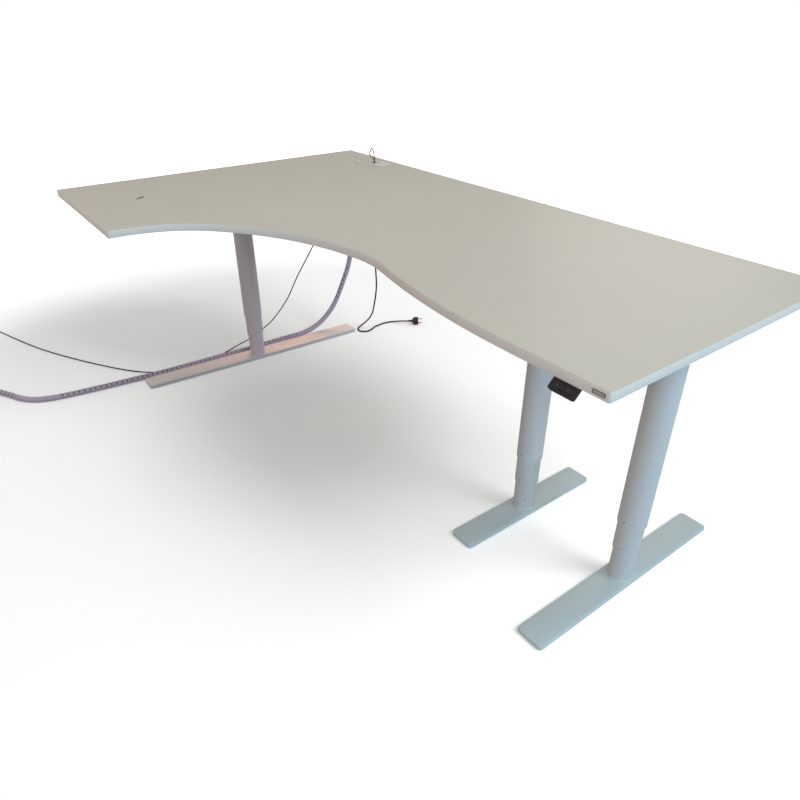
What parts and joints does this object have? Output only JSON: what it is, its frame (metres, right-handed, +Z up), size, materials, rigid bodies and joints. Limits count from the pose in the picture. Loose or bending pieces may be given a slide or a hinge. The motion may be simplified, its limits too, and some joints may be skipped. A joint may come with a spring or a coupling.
{
  "type": "height adjustable corner desk",
  "caption": "Electric sit-stand corner desk: L-shaped worktop with a curved inner edge on telescopic legs with flat bar feet, key panel, cable outlet and cable spine.",
  "frame": {"origin": "on the floor under the middle of the worktop's 2000 x 1200 mm outline", "axes": "+Z up, +Y from the user to the long back edge, +X along the back edge to the right"},
  "size_m": [3.0133, 1.792, 0.8313],
  "materials": {
    "laminate": "satin off-white melamine on chipboard",
    "edging": "satin beige-grey edging",
    "plate_metal": "brushed, bare",
    "pale_plastic": "fine matt",
    "powder_coat": "silver-grey powder coat",
    "cast_metal": "cast and painted grey",
    "bare_steel": "ground steel",
    "bush_plastic": "natural slide plastic",
    "glide_plastic": "hard matt",
    "black_plastic": "fine texture",
    "key_plastic": "satin key film",
    "lead_jacket": "matt cable jacket",
    "mains_rubber": "black flexible cable and moulded plug",
    "spine_plastic": "pale grey links",
    "data_jacket": "grey cable jacket"
  },
  "bodies": {
    "floor_stand": {"foot_right": "powder_coat", "glide_right_back": "glide_plastic", "glide_right_front": "glide_plastic", "inner_tube_right": "powder_coat", "mains_plug": "mains_rubber", "spine_end": "spine_plastic", "data_coil": "data_jacket", "data_plug": "pale_plastic"},
    "desktop": {"desktop_board": "laminate", "edge_band": "edging", "edge_plate": "plate_metal", "outlet_liner": "pale_plastic", "outlet_lid": "pale_plastic", "outlet_lid_segment": "pale_plastic", "support_arm_right": "powder_coat", "gear_housing_right": "cast_metal", "outer_tube_right": "powder_coat", "outer_bush_right": "bush_plastic", "spindle_right": "bare_steel", "support_arm_middle": "powder_coat", "gear_housing_middle": "cast_metal", "outer_tube_middle": "powder_coat", "outer_bush_middle": "bush_plastic", "spindle_middle": "bare_steel", "support_arm_left": "powder_coat", "gear_housing_left": "cast_metal", "outer_tube_left": "powder_coat", "outer_bush_left": "bush_plastic", "spindle_left": "bare_steel", "beam_long": "powder_coat", "beam_short": "powder_coat", "control_box": "black_plastic", "mains_gland": "black_plastic", "handset_body": "black_plastic", "motor_lead_right": "lead_jacket", "motor_lead_middle": "lead_jacket", "motor_lead_left": "lead_jacket", "handset_lead": "lead_jacket", "mains_cord": "mains_rubber", "cable_spine": "spine_plastic", "spine_holder": "spine_plastic", "data_cable": "data_jacket", "data_connector": "pale_plastic", "cable_clip": "pale_plastic"},
    "middle_stage_right": {"middle_tube_right": "powder_coat", "middle_bush_right": "bush_plastic"},
    "middle_stage_middle": {"middle_tube_middle": "powder_coat", "middle_bush_middle": "bush_plastic"},
    "middle_stage_left": {"middle_tube_left": "powder_coat", "middle_bush_left": "bush_plastic"},
    "foot_stage_middle": {"foot_middle": "powder_coat", "glide_middle_back": "glide_plastic", "glide_middle_front": "glide_plastic", "inner_tube_middle": "powder_coat"},
    "foot_stage_left": {"foot_left": "powder_coat", "glide_left_back": "glide_plastic", "glide_left_front": "glide_plastic", "inner_tube_left": "powder_coat"},
    "key_up": {"handset_key_up": "key_plastic"},
    "key_down": {"handset_key_down": "key_plastic"}
  },
  "joints": [
    {"name": "lift", "type": "slide", "parent": "floor_stand", "child": "desktop", "axis": [0, 0, 1], "range_m": [-0.155, 0.495]},
    {"name": "middle_stage_right_slide", "type": "slide", "parent": "floor_stand", "child": "middle_stage_right", "axis": [0, 0, 1], "range_m": [-0.0775, 0.2475]},
    {"name": "middle_stage_middle_slide", "type": "slide", "parent": "desktop", "child": "middle_stage_middle", "axis": [0, 0, -1], "range_m": [-0.0775, 0.2475]},
    {"name": "middle_stage_left_slide", "type": "slide", "parent": "desktop", "child": "middle_stage_left", "axis": [0, 0, -1], "range_m": [-0.0775, 0.2475]},
    {"name": "foot_stage_middle_slide", "type": "slide", "parent": "desktop", "child": "foot_stage_middle", "axis": [0, 0, -1], "range_m": [-0.155, 0.495]},
    {"name": "foot_stage_left_slide", "type": "slide", "parent": "desktop", "child": "foot_stage_left", "axis": [0, 0, -1], "range_m": [-0.155, 0.495]},
    {"name": "key_up_press", "type": "slide", "parent": "desktop", "child": "key_up", "axis": [0, 0.7071, -0.7071], "range_m": [0, 0.0008], "stiffness_N_per_m": 500},
    {"name": "key_down_press", "type": "slide", "parent": "desktop", "child": "key_down", "axis": [0, 0.7071, -0.7071], "range_m": [0, 0.0008], "stiffness_N_per_m": 500}
  ],
  "couplings": [
    {"joint": "middle_stage_right_slide", "follows": "lift", "ratio": 0.5},
    {"joint": "middle_stage_middle_slide", "follows": "lift", "ratio": 0.5},
    {"joint": "middle_stage_left_slide", "follows": "lift", "ratio": 0.5},
    {"joint": "foot_stage_middle_slide", "follows": "lift", "ratio": 1},
    {"joint": "foot_stage_left_slide", "follows": "lift", "ratio": 1}
  ]
}
